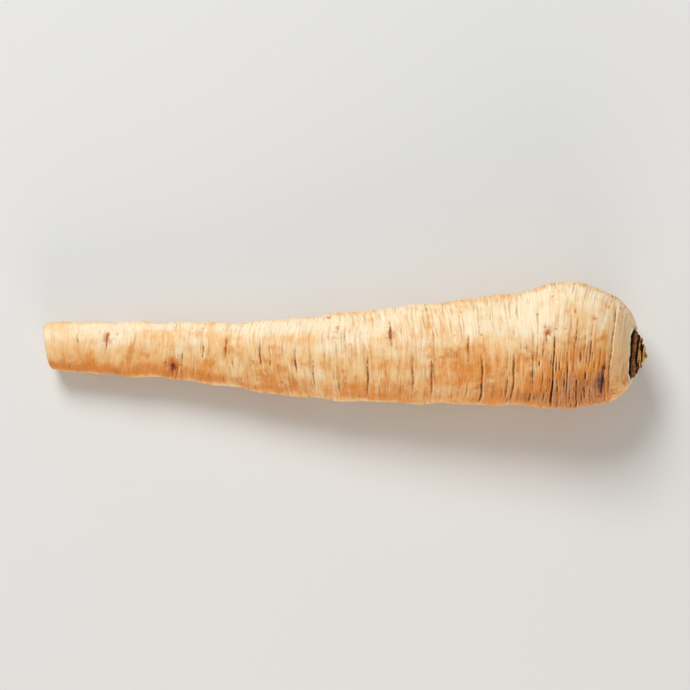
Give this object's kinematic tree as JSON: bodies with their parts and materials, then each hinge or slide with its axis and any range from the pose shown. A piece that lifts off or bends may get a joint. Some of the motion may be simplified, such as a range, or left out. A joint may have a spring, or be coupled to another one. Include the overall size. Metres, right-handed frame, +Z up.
{
  "type": "parsnip",
  "caption": "Trimmed parsnip root lying on its side: a tapering root with ring wrinkles, a cut tip, a sunken crown and dried leaf stalk stubs.",
  "frame": {"origin": "on the surface that the root rests on, under the middle of its bounding box", "axes": "+X along the root from the cut tip towards the crown, +Z up, +Y to the left of someone who looks from the tip to the crown"},
  "size_m": [0.1788, 0.0374, 0.036],
  "materials": {
    "skin": "fresh, thin, cream to tan root skin, matt with a faint moist sheen",
    "dried_stalk": "dried, dark brown, fibrous and matt"
  },
  "bodies": {
    "root": {"root": "skin", "leaf_stalk_stubs": "dried_stalk"}
  },
  "joints": []
}
